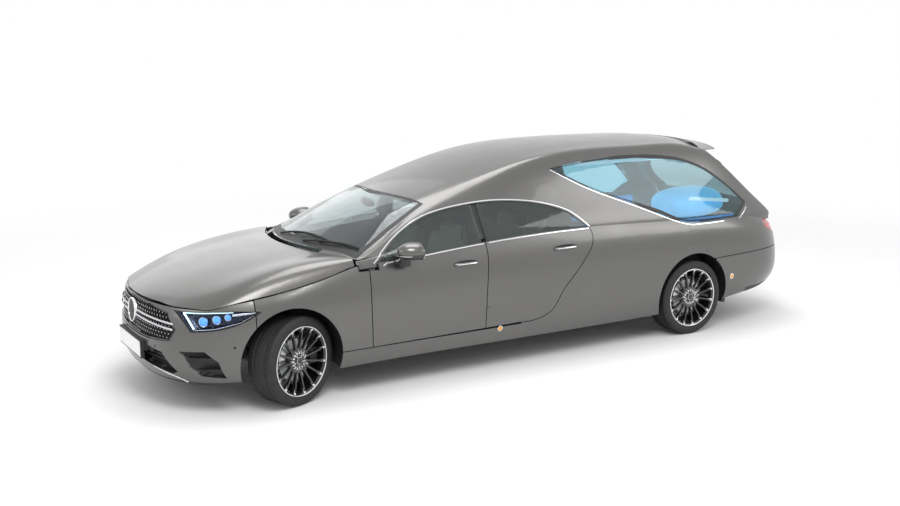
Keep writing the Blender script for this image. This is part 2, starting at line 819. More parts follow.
def liner_faces(work, x, nodes, inner):
    """Round liner of a left wheel arch: a tunnel closed towards the middle of the car."""
    rows = []
    for k, degrees in enumerate(spaced(*ARCH_SPAN, 40)):
        ahead, up = math.cos(math.radians(degrees)), math.sin(math.radians(degrees))

        def spot(radius, y):
            return Vector((x + radius * ahead, y, ARCH_CENTRE_Z + radius * up))
        found = on_side(nodes, x + ARCH_RADIUS * ahead, ARCH_CENTRE_Z + ARCH_RADIUS * up, 1)
        outer = min(found[0].y if found else 0.9, PANEL_Y) - LINER_SETBACK
        tunnel = ARCH_RADIUS - (0.0025 if k % 8 == 4 else 0.0)
        rows.append([spot(ARCH_RADIUS + LINER_LIP, outer),
                     *(spot(tunnel, outer + (inner - outer) * share) for share in (0, 0.04, 0.5, 0.96, 1)),
                     *(spot(ARCH_RADIUS * share, inner) for share in (0.85, 0.45))])
    sheet_faces(work, rows)
    thicken(work, LINER_THICKNESS)


class HEARSE_OT_arches(bpy.types.Operator):
    """Dark liners inside the four wheel arches"""
    bl_idname = "hearse.arches"
    bl_label = "Arch liners"

    def execute(self, context):
        for end, x, inner, nodes in (
                ("front", FRONT_AXLE_X, 0.486, ("front_fenders", "front_bumper", "left_side_panel")),
                ("rear", REAR_AXLE_X, 0.664, ("left_side_panel", "rear_bumper"))):
            add_pair(f"{end}_arch_liner", lambda work: liner_faces(work, x, nodes, inner), "black")
        return {"FINISHED"}


# ---------------------------------------------------------------- window trim
ARC = ((1.43, 0.948), (1.235, 1.089), (1.045, 1.187), (0.865, 1.248), (0.626, 1.289), (0.358, 1.308),
       (0.106, 1.295), (-0.125, 1.257), (-0.349, 1.182), (-0.522, 1.045))


BELT_TOP = 1.060
BELT_STEP = 0.002
BELT_DROP = 0.009
DOOR_SHOULDER_Y = 0.80
STRIP_HEIGHT = 0.0035
STRIP_LIFT = 0.0008


def belt_height(door, x, side):
    """Height of the bright strip under a door's top edge."""
    for k in range(100):
        found = on_side((door,), x, BELT_TOP - BELT_STEP * k, side)
        if found and found[0].y * side > DOOR_SHOULDER_Y:
            return BELT_TOP - BELT_STEP * k - BELT_DROP
    raise RuntimeError(f"no top edge found on {door} at {x:.3f} m")


def belt_line(door, first, last, side):
    """Outline of the strip along a door's top edge, evened out between its neighbours."""
    line = [(x, belt_height(door, x, side)) for x in spaced(first, last, 24)]
    return [(x, (z + line[max(k - 1, 0)][1] + line[min(k + 1, 24)][1]) / 3) for k, (x, z) in enumerate(line)]


class HEARSE_OT_strips(bpy.types.Operator):
    """Bright strips around the door windows and along the belt"""
    bl_idname = "hearse.strips"
    bl_label = "Window strips"

    def execute(self, context):
        width = sizes().strip_width
        for name, side in SIDES:
            arc = curve([(x, z + 0.006) for x, z in ARC])
            points, normals = side_line((f"{name}_side_panel",), arc, side, STRIP_LIFT)
            add_piece(f"{name}_arc_strip", lambda work: bar_along(work, points, normals, width, STRIP_HEIGHT),
                      "chrome")
            for end, first, last in (("front", 1.40, 0.492), ("rear", 0.450, -0.51)):
                door = f"{name}_{end}_door"
                points, normals = side_line((door,), belt_line(door, first, last, side), side, STRIP_LIFT)
                add_piece(f"{name}_{end}_belt_strip", lambda work: bar_along(
                    work, points, normals, width, STRIP_HEIGHT), "chrome", door)
        return {"FINISHED"}


# ---------------------------------------------------------------- door handles and mirrors
def cup_faces(work, points, normals):
    """Dark oval finger room behind a handle."""
    rings = []
    for k, (point, normal) in enumerate(zip(points, normals)):
        tall = 0.029 * math.sin(math.pi * (0.06 + 0.88 * k / 12)) ** 0.5
        rings.append([point + Vector((0, 0, share * tall)) + normal * 0.0009
                      for share in (-1.0, -0.5, 0.0, 0.5, 1.0)])
    skin_rings(work, rings, closed_rings=False)


class HEARSE_OT_handles(bpy.types.Operator):
    """Bow handles on the four doors"""
    bl_idname = "hearse.handles"
    bl_label = "Door handles"

    def execute(self, context):
        for name, side in SIDES:
            for end, x0, x1, z in (("front", 0.777, 0.574, 0.880), ("rear", -0.142, -0.363, 0.908)):
                door = f"{name}_{end}_door"
                points, normals = side_line((door,), [(x, z) for x in spaced(x0, x1, 12)], side)
                add_piece(f"{name}_{end}_handle_cup", lambda work: cup_faces(work, points, normals), "black",
                          door)
                lifted = [p + n * (0.004 + 0.016 * math.sin(math.pi * k / 12) ** 0.5)
                          for k, (p, n) in enumerate(zip(points, normals))]
                add_piece(f"{name}_{end}_handle", lambda work: bar_along(
                    work, lifted, normals, 0.024, 0.006, 0.6), "paint", door, 60)
                bright = [p + n * 0.0055 for p, n in zip(lifted, normals)][1:-1]
                add_piece(f"{name}_{end}_handle_strip", lambda work: bar_along(
                    work, bright, normals[1:-1], 0.007, 0.002), "chrome", door)
        return {"FINISHED"}


# ---------------------------------------------------------------- front: grille, intakes, lamps
DRAWN_ZERO = 2.025


def drawn(points):
    """Row metres of (station, height) points in millimetres."""
    return [(DRAWN_ZERO + x / 1000, z / 1000) for x, z in points]


GRILLE_TOP = ((-0.530, 0.702), (-0.300, 0.735), (0.0, 0.746), (0.300, 0.735), (0.530, 0.702))
GRILLE_FOOT = ((-0.575, 0.520), (-0.300, 0.497), (0.0, 0.490), (0.300, 0.497), (0.575, 0.520))
GRILLE_CORNER = (0.612, 0.600)
GRILLE_BAR_Z = 0.632
GRILLE_MIDDLE_Z = 0.615
GRILLE_HALF_WIDTH, GRILLE_HALF_HEIGHT = 0.6, 0.125
GRILLE = ("grille",)
MESH_SLOPE = 0.62
MESH_FOOT, MESH_TOP = 0.47, 0.77


def grille_outline(inset):
    """Closed outline of the grille opening, seen from the front."""
    corner_y, corner_z = GRILLE_CORNER
    loop = [*GRILLE_TOP, (corner_y, corner_z), *GRILLE_FOOT[::-1], (-corner_y, corner_z)]
    line = []
    for (y0, z0), (y1, z1) in zip(loop, loop[1:] + loop[:1]):
        line += list(zip(spaced(y0, y1, 8), spaced(z0, z1, 8)))[:-1]
    narrow, low = 1 - inset / GRILLE_HALF_WIDTH, 1 - inset / GRILLE_HALF_HEIGHT
    return [(y * narrow, GRILLE_MIDDLE_Z + (z - GRILLE_MIDDLE_Z) * low) for y, z in line]


def inside(outline, y, z):
    """Whether a point lies inside a closed outline."""
    hits = False
    for (y0, z0), (y1, z1) in zip(outline, outline[1:] + outline[:1]):
        if (z0 > z) != (z1 > z) and y < y0 + (y1 - y0) * (z - z0) / (z1 - z0):
            hits = not hits
    return hits


def grille_runs(outline, slope):
    """Runs of points on the slanting lines of the mesh."""
    pitch = sizes().mesh_pitch
    runs = []
    for k in range(-40, 41):
        run = []
        for z in spaced(MESH_FOOT, MESH_TOP, 60):
            y = k * pitch + slope * (z - GRILLE_MIDDLE_Z)
            if inside(outline, y, z):
                run.append((y, z))
            elif run:
                break
        if len(run) > 4:
            runs.append(run[::3] + ([run[-1]] if (len(run) - 1) % 3 else []))
    return runs


class HEARSE_OT_grille(bpy.types.Operator):
    """Diamond mesh, frame, bright cross bars and the bare centre disc of the grille"""
    bl_idname = "hearse.grille"
    bl_label = "Grille"

    def execute(self, context):
        outline = grille_outline(0.012)

        def mesh_bars(work):
            for slope in (MESH_SLOPE, -MESH_SLOPE):
                for run in grille_runs(outline, slope):
                    points, normals = front_line(GRILLE, run, 0.003)
                    if len(points) > 1:
                        bar_along(work, points, normals, 0.0042, 0.006)
        add_piece("grille_mesh", mesh_bars, "gloss", smooth=30)

        def studs(work):
            half = sizes().mesh_pitch / 2
            for k in range(-80, 81):
                for j in range(12):
                    y, z = k * half, GRILLE_MIDDLE_Z + (j - 6) * half / MESH_SLOPE
                    if (k + j) % 2 or not inside(outline, y, z):
                        continue
                    found = on_front(GRILLE, y, z)
                    if found:
                        disc_faces(work, found[0] + found[1] * 0.008, found[1],
                                   [(0.0, 0.0042), (0.0030, 0.0034), (0.0044, 0.0008), (0.0044, -0.002)], 8)
        add_piece("grille_studs", studs, "satin", smooth=50)

        def frame_bars(work):
            loop = grille_outline(0.004)
            points, normals = front_line(GRILLE, loop + loop[:1], 0.012)
            bar_along(work, points, normals, 0.014, 0.012)
        add_piece("grille_frame", frame_bars, "gloss", smooth=40)

        def cross_bars(work):
            for side in (1, -1):
                for z0, z1, thick in ((GRILLE_BAR_Z + 0.019, 0.634, 0.012),
                                      (GRILLE_BAR_Z - 0.016, 0.596, 0.010)):
                    sweep = [(side * (0.085 + share * 0.505), z0 + (z1 - z0) * share ** 2)
                             for share in spaced(0, 1, 16)]
                    line = front_line(GRILLE, sweep, 0.022)[0]
                    blade(work, line, Vector((0.35, 0, 1)), 0.020, thick)
        add_piece("grille_bars", cross_bars, "satin", smooth=60)
        centre = on_front(GRILLE, 0.0, GRILLE_BAR_Z)[0]
        axis = Vector((1, 0, 0.06))
        add_piece("grille_disc", lambda work: disc_faces(work, centre, axis, [
            (0.0, 0.030), (0.050, 0.029), (0.076, 0.0265), (0.078, 0.022), (0.080, -0.004)], 64),
            "black", smooth=40)
        add_piece("grille_disc_ring", lambda work: disc_faces(work, centre, axis, [
            (0.0785, 0.020), (0.079, 0.0285), (0.0815, 0.0325), (0.086, 0.0315), (0.0885, 0.027),
            (0.089, 0.012), (0.0785, 0.012)], 72), "chrome", smooth=40)
        return {"FINISHED"}


LOWER_INTAKE = ((-0.285, 0.395), (0.285, 0.395), (0.300, 0.448), (0.500, 0.428), (0.622, 0.305),
                (0.575, 0.282), (0.300, 0.315), (0.0, 0.330), (-0.300, 0.315), (-0.575, 0.282),
                (-0.622, 0.305), (-0.500, 0.428), (-0.300, 0.448))
SIDE_INTAKE = ((0.645, 0.456), (0.790, 0.466), (0.838, 0.392), (0.846, 0.272), (0.748, 0.292), (0.692, 0.352))
BUMPER = ("front_bumper",)
BUMPER_REAR_X = 2.3
BACK_EDGE = 0.014
BACK_LIP = 0.026


def bumper_x(y, z):
    """X of the bumper's face, bridged over its openings."""
    edges = []
    for step in (0.006, -0.006):
        for k in range(60):
            found = on_front(BUMPER, y, z + k * step)
            if found and found[0].x > BUMPER_REAR_X:
                edges.append((z + k * step, found[0].x))
                break
    if len(edges) < 2:
        return edges[0][1] if edges else 2.6
    (top, top_x), (foot, foot_x) = edges
    if top - foot < 1e-4:
        return top_x
    return foot_x + (top_x - foot_x) * (z - foot) / (top - foot)


def back_sheet(work, outline, back, columns, rows):
    """A plate behind an opening, following the bumper's curve and turned in at its edges."""
    ys, zs = zip(*outline)
    grid = []
    for z in spaced(min(zs) - BACK_EDGE, max(zs) + BACK_EDGE, rows):
        grid.append([Vector((bumper_x(y, z) - (back if inside(outline, y, z) else BACK_LIP), y, z))
                     for y in spaced(min(ys) - BACK_EDGE, max(ys) + BACK_EDGE, columns)])
    sheet_faces(work, grid)
    thicken(work, 0.003)


class HEARSE_OT_intakes(bpy.types.Operator):
    """Dark backs, mesh and fins of the lower and side intakes"""
    bl_idname = "hearse.intakes"
    bl_label = "Intakes"

    def execute(self, context):
        lower, side = list(LOWER_INTAKE), list(SIDE_INTAKE)
        add_piece("lower_intake_back", lambda work: back_sheet(work, lower, 0.060, 64, 12), "black")
        add_pair("side_intake_back", lambda work: back_sheet(work, side, 0.070, 18, 14), "black")

        def lower_mesh(work):
            for k in range(6):
                z = 0.300 + k * 0.026
                line = [Vector((bumper_x(y, z) - 0.040, y, z)) for y in spaced(-0.62, 0.62, 60)
                        if inside(lower, y, z)]
                if len(line) > 2:
                    blade(work, line, Vector((1, 0, 0.2)), 0.014, 0.004)
        add_piece("lower_intake_slats", lower_mesh, "gloss", smooth=50)

        def fins(work):
            for z0, z1, start, stop in ((0.418, 0.424, 0.690, 0.800), (0.338, 0.344, 0.740, 0.822)):
                line = [Vector((bumper_x(y, z0) - 0.030, y, z))
                        for y, z in zip(spaced(start, stop, 12), spaced(z0, z1, 12))]
                blade(work, line, Vector((1, 0.55, 0)), 0.046, 0.009)
        add_pair("intake_fins", fins, "gloss", smooth=50)
        return {"FINISHED"}


LAMP_TOP = drawn([(300, 722), (430, 738), (600, 739), (800, 732)])
LAMP_FOOT = drawn([(300, 722), (440, 652), (600, 612), (738, 598)])


def lamp_point(u, v, depth=0.0):
    """Point and normal of the left headlamp's face; u runs from its tip to its front, v from foot to top."""
    x0, x1 = LAMP_FOOT[0][0], LAMP_FOOT[-1][0]
    x2, x3 = LAMP_TOP[0][0], LAMP_TOP[-1][0]
    low_x, high_x = x0 + (x1 - x0) * u, x2 + (x3 - x2) * u
    low_z, high_z = between(LAMP_FOOT, low_x), between(LAMP_TOP, high_x)
    x, z = low_x + (high_x - low_x) * v, low_z + (high_z - low_z) * v
    found = on_side(("headlights",), x, z, 1)
    if found is None:
        return None
    point, normal = found
    flat = Vector((normal.x, normal.y, 0)).normalized()
    return point - flat * depth, flat


def lamp_sheet(work, us, vs, depth):
    """A skin over part of the lamp; depth gives how far it lies below the lamp's face."""
    grid = []
    for v in vs:
        found = [lamp_point(u, v, depth(u, v)) for u in us]
        grid.append([f[0] if f else None for f in found])
    sheet_faces(work, grid)


def bowl_depth(u, v):
    """Depth of the headlamp's bowl: shallow at its rim and towards its tip."""
    edge = min(v, 1 - v, u, 1 - u)
    return 0.003 + 0.047 * min(1.0, max(0.0, edge - 0.015) / 0.10) * min(1.0, 0.25 + u)


def lamp_line(pairs, depth):
    """Points and normals at a depth below the lamp's face, under a line of (u, v) places."""
    return laid([lamp_point(u, v, depth) for u, v in pairs])


PROJECTORS = ((0.80, 0.44, 0.030), (0.62, 0.50, 0.026), (0.46, 0.56, 0.019))
PROJECTOR_LEAN = Vector((0.25, 0, 0))


class HEARSE_OT_lamps(bpy.types.Operator):
    """Headlamps: clear lens over a dark bowl, blue lit projectors, light guides and a bright fin"""
    bl_idname = "hearse.lamps"
    bl_label = "Headlamps"

    def execute(self, context):
        def lens(work):
            lamp_sheet(work, spaced(0.01, 0.995, 36), spaced(0.02, 0.98, 12), lambda u, v: 0.0015)
            thicken(work, 0.0025)
        lenses = add_pair("headlamp_lens", lens, "lamp_glass")
        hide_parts("headlights")

        def bowl(work):
            lamp_sheet(work, spaced(0.004, 0.998, 36), spaced(0.005, 0.995, 14),
                       lambda u, v: bowl_depth(u, (v - 0.005) / 0.99))
        add_pair("headlamp_bowl", bowl, "lamp_bowl")

        def projectors(work):
            for u, v, radius in PROJECTORS:
                point, normal = lamp_point(u, v, 0.038)
                disc_faces(work, point, normal + PROJECTOR_LEAN, [
                    (0.0, 0.022), (radius * 0.45, 0.0205), (radius * 0.75, 0.016), (radius * 0.95, 0.009),
                    (radius, 0.002), (radius, -0.006)], 32)
        add_pair("headlamp_projectors", projectors, "glow")

        def rings(work):
            for u, v, radius in PROJECTORS:
                point, normal = lamp_point(u, v, 0.036)
                disc_faces(work, point, normal + PROJECTOR_LEAN, [
                    (radius, 0.001), (radius + 0.001, 0.007), (radius + 0.004, 0.008),
                    (radius + 0.006, 0.003), (radius + 0.006, -0.006), (radius, -0.006)], 32)
        add_pair("headlamp_rings", rings, "chrome", smooth=50)

        def guides(work):
            tall = list(zip(spaced(0.955, 0.940, 10), spaced(0.10, 0.90, 10)))
            top = [(u, 0.90) for u in spaced(0.94, 0.36, 24)]
            for pairs, width in ((tall, 0.011), (top, 0.006)):
                points, normals = lamp_line(pairs, 0.018)
                bar_along(work, points, normals, width, 0.006)
        add_pair("headlamp_guides", guides, "guide")

        def fin(work):
            low = [(u, 0.075) for u in spaced(0.10, 0.94, 28)]
            tip = list(zip(spaced(0.05, 0.39, 14), spaced(0.60, 0.70, 14)))
            for pairs, width, depth in ((low, 0.007, 0.010), (tip, 0.014, 0.014)):
                points, normals = lamp_line(pairs, depth)
                bar_along(work, points, normals, width, 0.004)
        add_pair("headlamp_fin", fin, "satin")

        def seal(work):
            loop = [(u, 0.015) for u in spaced(0.01, 0.99, 40)]
            loop += [(0.99, v) for v in spaced(0.015, 0.985, 12)[1:]]
            loop += [(u, 0.985) for u in spaced(0.99, 0.01, 40)[1:]]
            points, normals = lamp_line(loop, 0.0005)
            ribbon(work, points, normals, 0.006, 0.0004)
        add_pair("headlamp_seal", seal, "black")
        return {"FINISHED"}


# ---------------------------------------------------------------- mirrors and screen
MIRROR_GLASS_X = 1.1165


class HEARSE_OT_mirrors(bpy.types.Operator):
    """Door mirrors: glass, black lower shell and a slim lamp"""
    bl_idname = "hearse.mirrors"
    bl_label = "Door mirrors"

    def execute(self, context):
        doors = ("left_front_door", "right_front_door")
        low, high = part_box("left_mirror")
        middle_y, middle_z = high[1] - 0.092, (low[2] + high[2]) / 2 + 0.012

        def glass(work):
            ring = [(math.copysign(abs(math.cos(a)) ** 0.7, math.cos(a)),
                     math.copysign(abs(math.sin(a)) ** 0.7, math.sin(a)))
                    for a in turns(48)]
            rings = []
            for share, back in ((1.0, -0.004), (1.0, 0.0), (0.96, 0.0012), (0.5, 0.0018), (0.02, 0.002)):
                rings.append([Vector((MIRROR_GLASS_X - back, middle_y + y * 0.078 * share,
                                      middle_z + z * 0.052 * share)) for y, z in ring])
            skin_rings(work, rings, cap=True)
        add_pair("mirror_glass", glass, "mirror", doors, 40)
        shell = cover_mesh("mirror_shell", "left_mirror", [((0, 0, low[2] + 0.100), (0, 0, 1))], 0.0012)
        add_pair("mirror_shell", shell, "gloss", doors, 40)

        def lamp(work):
            found = [met(("left_mirror",), (1.6, y, middle_z - 0.012), (-1, 0, 0))
                     for y in spaced(high[1] - 0.160, high[1] - 0.020, 10)]
            points, normals = laid(f for f in found if f and f[0].x > 1.15)
            bar_along(work, points, normals, 0.009, 0.0025)
        add_pair("mirror_lamp", lamp, "satin", doors, 50)
        return {"FINISHED"}


SCREEN_EDGE = ((1.520, 0.761), (1.345, 0.722), (1.175, 0.678), (1.010, 0.642), (0.860, 0.600), (0.925, 0.330),
               (0.962, 0.120), (0.973, 0.0))
SCREEN_FOOT = ((1.520, 0.761), (1.680, 0.420), (1.745, 0.180), (1.763, 0.0))


def toward(point, aim, step):
    """A point moved by a step towards another."""
    reach = Vector(aim) - Vector(point)
    return Vector(point) + reach.normalized() * min(step, reach.length)


def edge_band(work, line, aim, start, stop, lift, cast):
    """A band between two distances inside a flat line, laid on the surface found by cast."""
    rows = []
    for share in (0.0, 0.5, 1.0):
        row = []
        for p in line:
            found = cast(*toward(p, aim, start + (stop - start) * share))
            row.append(found[0] + found[1] * lift if found else None)
        rows.append(row)
    sheet_faces(work, rows)


def fine(line, step=0.03):
    """A polyline cut into short steps."""
    made = []
    for a, b in zip(line, line[1:]):
        count = max(1, int((Vector(b) - Vector(a)).length / step))
        made += [tuple(Vector(a).lerp(Vector(b), k / count)) for k in range(count)]
    return made + [tuple(line[-1])]


class HEARSE_OT_screen(bpy.types.Operator):
    """Black band, wipers and inside mirror of the windshield"""
    bl_idname = "hearse.screen"
    bl_label = "Windshield trim"

    def execute(self, context):
        def cast(x, y):
            return on_top(("windshield",), x, y)

        def band(work):
            for side in (1, -1):
                edge = [(x, y * side) for x, y in fine(SCREEN_EDGE)]
                foot = [(x, y * side) for x, y in fine(SCREEN_FOOT)]
                edge_band(work, edge, (1.28, 0.0), 0.006, 0.040, 0.0012, cast)
                edge_band(work, foot, (1.25, 0.0), 0.006, 0.075, 0.0012, cast)
        add_piece("screen_band", band, "black")

        def wipers(work):
            for root, tip in (((1.700, 0.230), (1.470, 0.690)), ((1.715, -0.160), (1.590, 0.400))):
                line = []
                for k, (x, y) in enumerate(zip(*(spaced(root[i], tip[i], 14) for i in (0, 1)))):
                    found = cast(x, y)
                    if found:
                        line.append(found[0] + found[1] * (0.010 + 0.010 * math.sin(math.pi * k / 14)))
                blade(work, line, UP, 0.016, 0.009)
                blade(work, [p - Vector((0.012, 0, 0.004)) for p in line[4:]], UP, 0.020, 0.005)
        add_piece("wipers", wipers, "black", smooth=50)

        def inside_mirror(work):
            disc = [(math.cos(a) * 0.118, math.sin(a) * 0.034) for a in turns(40)]
            rings = []
            for share, x in ((0.05, 0.004), (0.90, 0.004), (1.0, 0.001), (1.0, -0.004), (0.85, -0.014),
                             (0.3, -0.020)):
                rings.append([Vector((1.030 - x, y * share, 1.262 + z * share)) for y, z in disc])
            skin_rings(work, rings, cap=True)
            stem = [Vector((x, 0, z)) for x, z in ((1.045, 1.262), (1.058, 1.290), (1.062, 1.312))]
            tube_along(work, stem, 0.010)
        add_piece("inside_mirror", inside_mirror, "gloss", smooth=40)
        return {"FINISHED"}


# ---------------------------------------------------------------- seats
SEAT_Y = 0.365
FRONT_SEAMS = (-0.45, 0.45)
REAR_SEAMS = (-0.68, -0.34, 0.34, 0.68)
REAR_REST_YS = (0.42, 0.0, -0.42)
BASE_FOOT = 0.262


def pad_stops(length, radius, seams=()):
    """Places of the grid lines over one side of a pad, closer at its edges and seams, from -1 to 1."""
    edge = 1 - 2 * radius / length
    stops = spaced(-1, 1, 10)
    for stop in (edge, (1 + edge) / 2, 1 - (1 - edge) / 4):
        stops += [stop, -stop]
    for seam in seams:
        stops += [seam - 0.05, seam - 0.02, seam, seam + 0.02, seam + 0.05]
    return sorted({round(v, 4) for v in stops if -1 <= v <= 1})


def pad_faces(work, size, radius, crown, seams, turn):
    """A stuffed pad: a rounded block with a crowned front and pressed seams across its width (axis Y)."""
    half = Vector(size) / 2
    xs, ys, zs = pad_stops(size[0], radius), pad_stops(size[1], radius, seams), pad_stops(size[2], radius)
    for fixed, us, vs in ((0, ys, zs), (1, xs, zs), (2, xs, ys)):
        for end in (-1, 1):
            sheet_faces(work, [[Vector([u, v][:fixed] + [end] + [u, v][fixed:]) for u in us] for v in vs])
    bmesh.ops.remove_doubles(work, verts=work.verts, dist=CLOSE)
    for vert in work.verts:
        u = vert.co.copy()
        p = Vector(u[i] * half[i] for i in range(3))
        core = Vector(max(-half[i] + radius, min(half[i] - radius, p[i])) for i in range(3))
        out = p - core
        if out.length > 1e-9:
            p = core + out.normalized() * radius
        swell = (1 - u.x ** 4) * (1 - u.y ** 4)
        dent = sum(math.exp(-((u.y - s) / 0.025) ** 2) for s in seams) * 0.007
        dent += math.exp(-((abs(u.x) - 0.80) / 0.03) ** 2) * 0.004
        if u.z > 0:
            p.z += (crown * swell - dent * min(1.0, swell * 4)) * u.z
        vert.co = turn @ p


def add_pad(name, *shape):
    """A stuffed leather pad of the seats."""
    piece = add_piece(name, lambda work: pad_faces(work, *shape), "seat", smooth=60)
    return piece


def pad_place(x, y, z, pitch):
    """Place of a pad whose top faces up, tipped back about Y by an angle in degrees."""
    return Matrix.Translation((x, y, z)) @ Matrix.Rotation(math.radians(pitch), 4, "Y")


class HEARSE_OT_seats(bpy.types.Operator):
    """Stuffed seats: cushions, backs and head rests with seams, on dark bases"""
    bl_idname = "hearse.seats"
    bl_label = "Seats"

    def execute(self, context):
        stands = {}
        for name, side in SIDES:
            y = side * SEAT_Y
            for label, size, radius, crown, seams, turn in (
                    ("cushion", (0.52, 0.50, 0.15), 0.050, 0.022, FRONT_SEAMS, (0.850, y, 0.470, -4)),
                    ("back", (0.60, 0.50, 0.13), 0.050, 0.020, FRONT_SEAMS, (0.548, y, 0.705, 75)),
                    ("rest", (0.15, 0.25, 0.075), 0.034, 0.012, (), (0.478, y, 1.022, 82))):
                piece = add_pad(f"{name}_front_{label}", size, radius, crown, seams, pad_place(*turn))
                stands.setdefault("front_seats", piece)
        for label, size, radius, crown, turn in (
                ("cushion", (0.50, 1.24, 0.13), 0.050, 0.020, pad_place(0.010, 0, 0.455, -5)),
                ("back", (0.56, 1.24, 0.12), 0.048, 0.018, pad_place(-0.262, 0, 0.700, 76))):
            piece = add_pad(f"rear_{label}", size, radius, crown, REAR_SEAMS, turn)
            stands.setdefault("rear_seats", piece)
        for label, y in zip(("left", "middle", "right"), REAR_REST_YS):
            add_pad(f"rear_{label}_rest", (0.13, 0.24, 0.07), 0.032, 0.010, (),
                    pad_place(-0.318, y, 1.010, 82))
        for node, piece in stands.items():
            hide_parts(node)

        def bases(work):
            for y in (SEAT_Y, -SEAT_Y):
                box_faces(work, (0.640, y - 0.19, BASE_FOOT), (1.060, y + 0.19, 0.405), 0.02)
            box_faces(work, (-0.220, -0.60, BASE_FOOT), (0.200, 0.60, 0.400), 0.02)
        add_piece("seat_bases", bases, "trim", smooth=40)

        def posts(work):
            spots = [(0.492, y + d, 0.965) for y in (SEAT_Y, -SEAT_Y) for d in (-0.06, 0.06)]
            spots += [(-0.308, y + d, 0.945) for y in REAR_REST_YS for d in (-0.05, 0.05)]
            for x, y, z in spots:
                tube_along(work, [Vector((x, y, z - 0.03)), Vector((x - 0.012, y, z + 0.05))], 0.006, 10)
        add_piece("rest_posts", posts, "satin", smooth=50)
        return {"FINISHED"}


# ---------------------------------------------------------------- cabin and load space
class HEARSE_OT_cabin(bpy.types.Operator):
    """Steering-wheel hub, centre display and console"""
    bl_idname = "hearse.cabin"
    bl_label = "Cabin details"

    def execute(self, context):
        low, high = (Vector(corner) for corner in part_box("steering_wheel"))
        middle = (low + high) / 2
        axis = Vector((-(high.z - low.z), 0, high.x - low.x)).normalized()
        add_piece("wheel_hub", lambda work: disc_faces(work, Vector((1.050, middle.y, 0.805)), axis, [
            (0.0, 0.022), (0.045, 0.020), (0.064, 0.012), (0.068, 0.0), (0.060, -0.012), (0.0, -0.014)], 40),
            "trim", smooth=40)
        found = on_top(("dashboard",), 1.150, 0.0)
        top = found[0].z if found else 0.90

        def display(work):
            box_faces(work, (1.120, -0.30, top + 0.004), (1.136, 0.30, top + 0.074), 0.004)
        add_piece("display", display, "gloss", smooth=40)

        def console(work):
            box_faces(work, (0.50, -0.10, 0.30), (1.10, 0.10, 0.545), 0.03)
        add_piece("console", console, "trim", smooth=40)
        return {"FINISHED"}


RAIL_Y = 0.30
ROLLER_RADIUS = 0.014
LIGHT_BOX_AT = (-2.11, 0.30, 1.045)
LIGHT_BOX_HALF = (0.31, 0.24, 0.145)


class HEARSE_OT_load_space(bpy.types.Operator):
    """Lit linings, rounded light box, side tube, and the deck's rails and rollers"""
    bl_idname = "hearse.load_space"
    bl_label = "Load space"

    def execute(self, context):
        low, high = (Vector(corner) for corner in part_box("load_deck"))

        def rails(work):
            for y in (-RAIL_Y, RAIL_Y):
                line = [Vector((x, y, high.z)) for x in spaced(low.x + 0.06, high.x - 0.06, 8)]
                bar_along(work, line, [UP] * 9, 0.035, 0.014)
            for x in spaced(low.x + 0.20, high.x - 0.20, 8):
                roller = [Vector((x, y, high.z + ROLLER_RADIUS)) for y in (-0.22, 0.22)]
                tube_along(work, roller, ROLLER_RADIUS, 14)
        add_piece("deck_rails", rails, "chrome", smooth=40)

        def light_box(work):
            (x, y, z), (long, wide, tall) = LIGHT_BOX_AT, LIGHT_BOX_HALF
            rings = []
            for angle in spaced(0, math.pi, 24):
                fat = math.sin(angle) ** 0.35
                rings.append([Vector((x - long * math.cos(angle), y + math.cos(a) * wide * fat,
                                      z + math.sin(a) * tall * fat)) for a in turns(28)])
            skin_rings(work, rings[1:-1], cap=True)
        add_piece("light_box", light_box, "lit_box", smooth=60)

        def tube(work):
            line = [Vector((x, 0.560, z)) for x, z in zip(spaced(-2.36, -1.90, 8), spaced(1.075, 1.125, 8))]
            tube_along(work, line, 0.016, 16)
        add_piece("side_tube", tube, "white", smooth=50)

        def lining(work):
            for side in (1, -1):
                rows = []
                for j, z in enumerate(spaced(0.775, 0.975, 8)):
                    y = side * (0.655 + 0.05 * math.sin(math.pi * j / 16))
                    rows.append([Vector((x, y, z)) for x in spaced(-2.30, -0.50, 24)])
                sheet_faces(work, rows)
            thicken(work, 0.006)
        add_piece("side_lining", lining, "lining")

        def front_lining(work):
            rows = []
            for z in spaced(0.78, 1.50, 12):
                rows.append([Vector((-0.440 - 0.006 * abs(math.sin(math.pi * k / 4)), y, z))
                             for k, y in enumerate(spaced(-0.60, 0.60, 32))])
            sheet_faces(work, rows)
            thicken(work, -0.003)
        add_piece("front_lining", front_lining, "lining")
        return {"FINISHED"}


LOAD_WINDOW_TOP = drawn([(-2300, 1516), (-2676, 1552), (-3114, 1571), (-3449, 1553), (-3723, 1507),
                         (-3970, 1411), (-4207, 1245), (-4373, 1094)])
LOAD_WINDOW_FOOT = drawn([(-4222, 985), (-3766, 978), (-3528, 1003), (-3080, 1173), (-2620, 1350),
                          (-2300, 1516)])


# ---------------------------------------------------------------- rear and lower trim
OUTLET_Z = 0.300


